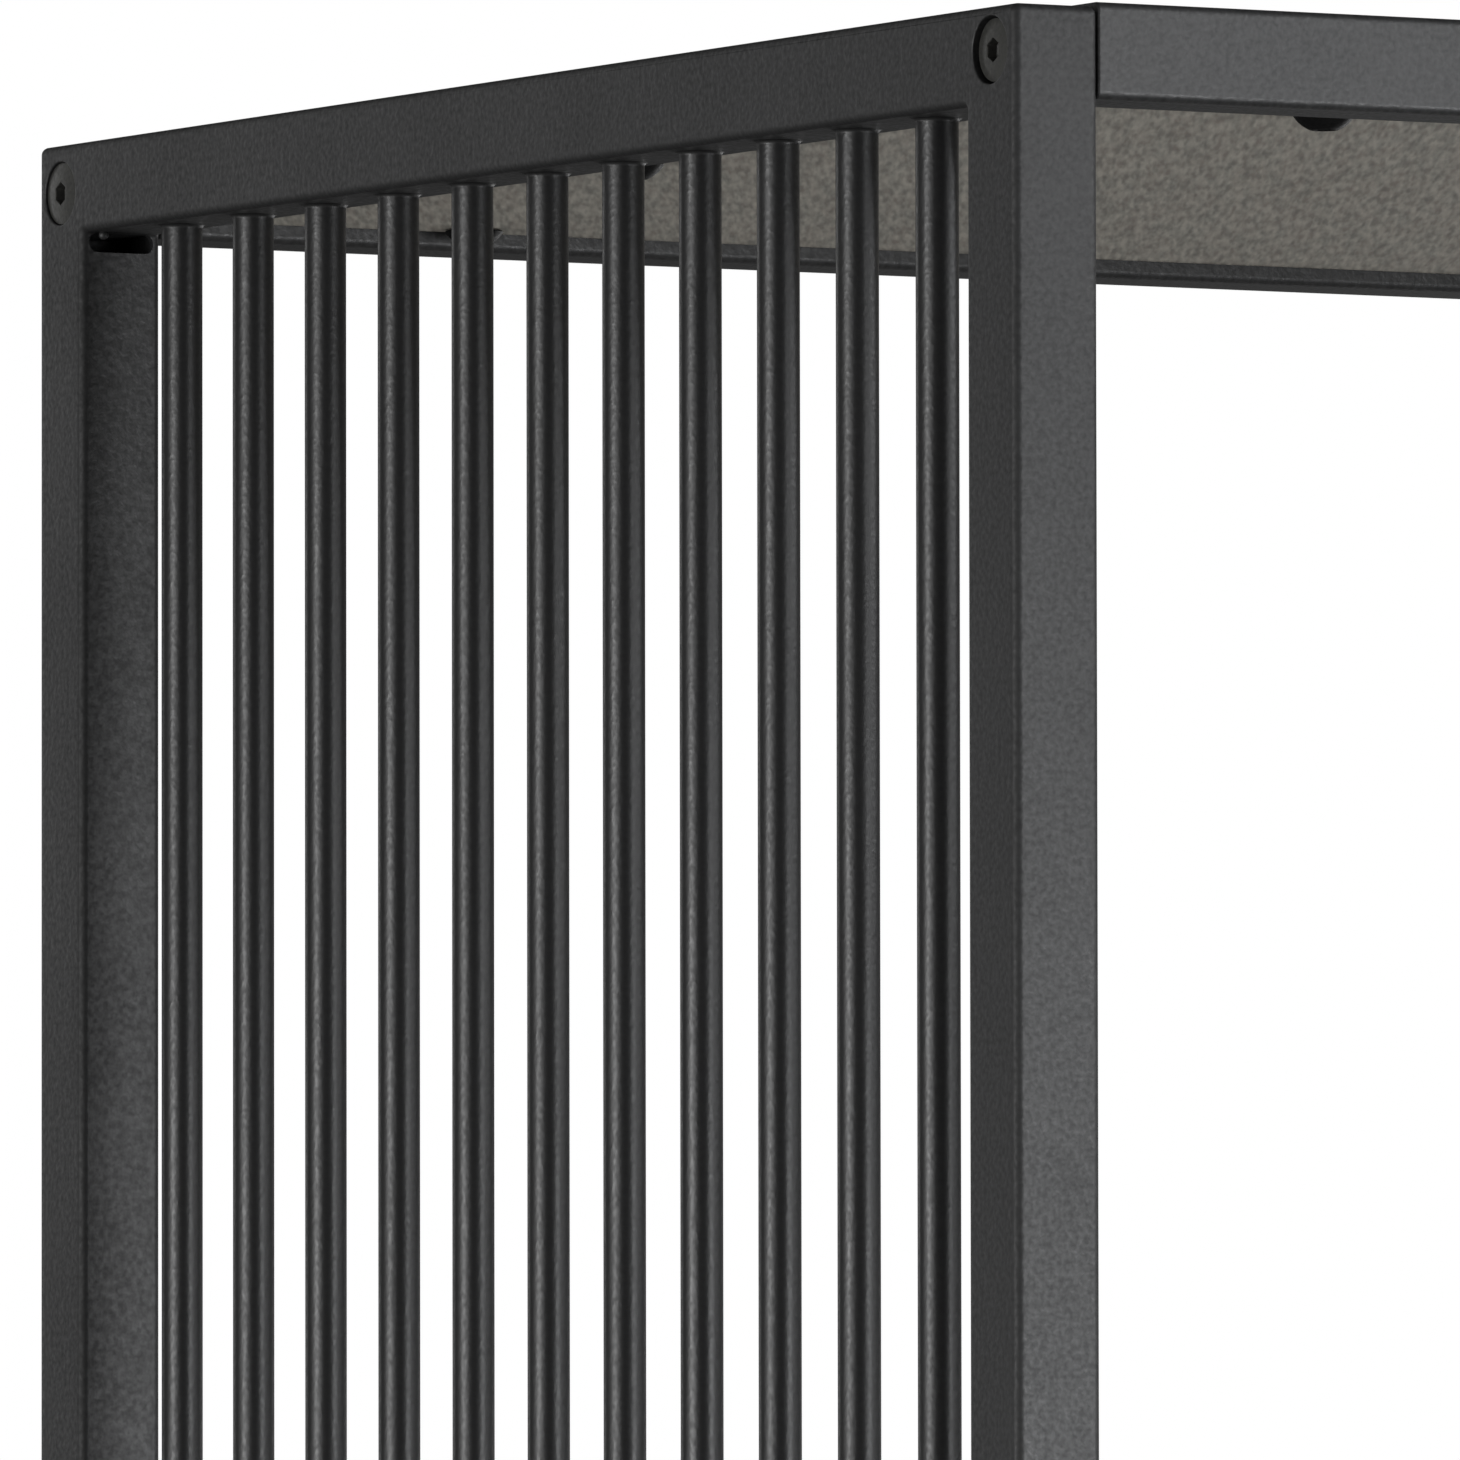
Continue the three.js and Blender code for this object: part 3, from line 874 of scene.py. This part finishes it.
def floor_sun(name, irradiance, lit):
    """Soft, even light from above for the floor."""
    data = bpy.data.lights.new(name, "SUN")
    data.energy = irradiance
    data.angle = math.radians(70)
    light = bpy.data.objects.new(name, data)
    light.light_linking.receiver_collection = lit
    bpy.context.scene.collection.objects.link(light)


def collection_of(name, things):
    """A collection for lights to be linked to. It isn't part of the scene's own tree."""
    made = bpy.data.collections.new(name)
    for thing in things:
        made.objects.link(thing)
    return made


def make_world(seen, lighting):
    """World of strength seen to the camera, and of strength lighting to everything else."""
    world = bpy.data.worlds.new("studio")
    world.use_nodes = True
    bpy.context.scene.world = world
    nodes = world.node_tree.nodes
    background = nodes["Background"]
    background.inputs["Color"].default_value = (1, 1, 1, 1)
    path = nodes.new("ShaderNodeLightPath")
    strength = nodes.new("ShaderNodeMapRange")
    strength.inputs["To Min"].default_value = lighting
    strength.inputs["To Max"].default_value = seen
    world.node_tree.links.new(path.outputs["Is Camera Ray"], strength.inputs["Value"])
    world.node_tree.links.new(strength.outputs["Result"], background.inputs["Strength"])


def make_camera(corner):
    """The view of the rack's upper left front corner that the picture shows, through a long lens."""
    azimuth = -29.86
    elevation = -2.98
    roll = math.radians(-0.093)
    distance = 4.2236
    corner_right = 0.05796  # how far the corner lies right of the middle of the view
    corner_up = 0.14836  # and above it
    back = direction_of(azimuth, elevation)
    right = Vector((0, 0, 1)).cross(back).normalized()
    up = back.cross(right)
    level_right = math.cos(roll) * right + math.sin(roll) * up
    level_up = math.cos(roll) * up - math.sin(roll) * right
    data = bpy.data.cameras.new("camera")
    data.sensor_width = 36
    data.lens = 511.07
    data.clip_end = 300
    camera = bpy.data.objects.new("camera", data)
    place = Matrix((level_right, level_up, back)).transposed().to_4x4()
    place.translation = corner + distance * back - corner_right * level_right - corner_up * level_up
    camera.matrix_world = place
    bpy.context.scene.collection.objects.link(camera)
    bpy.context.scene.camera = camera


WHITE = (1.0, 1.0, 1.0)
COOL = (0.975, 0.985, 1.0)
SOFTBOXES = (  # name, distance, azimuth, spread, low, high, radiance, colour
    ("left_core", FAR, -90, 20, 0.70, 1.35, 10.0, WHITE),
    ("left_edge", FAR, -70, 20, 0.70, 1.35, 3.6, WHITE),
    ("left_low", FAR, -100, 40, 0.05, 0.70, 5.2, WHITE),
    ("front_near", NEAR, 20, 40, 0.50, 0.95, 7.0, COOL),
    ("front_mid", FAR, 20, 40, 0.70, 1.35, 0.6, COOL),
    ("front_tall", FAR, 10, 20, 0.05, 2.60, 1.35, COOL),
    ("right_top", FAR, 60, 40, 1.35, 2.60, 4.3, COOL),
    ("rear_low", FAR, 122, 30, 0.05, 0.70, 4.8, WHITE),
    ("rear_high", FAR, -170, 20, 0.70, 2.60, 0.8, WHITE),
)

post_low, post_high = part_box("left_front_post")
view_corner = Vector((post_low.x, post_low.y, post_high.z))
floor = make_floor()
make_world(1.0, 0.06)
rack_pieces = collection_of("rack_pieces", pieces)
floor_only = collection_of("floor_only", [floor])
for settings in SOFTBOXES:
    softbox(*settings, rack_pieces)
floor_sun("floor_sun", 1.35, floor_only)
make_camera(view_corner)
bpy.context.scene.view_settings.view_transform = "Standard"
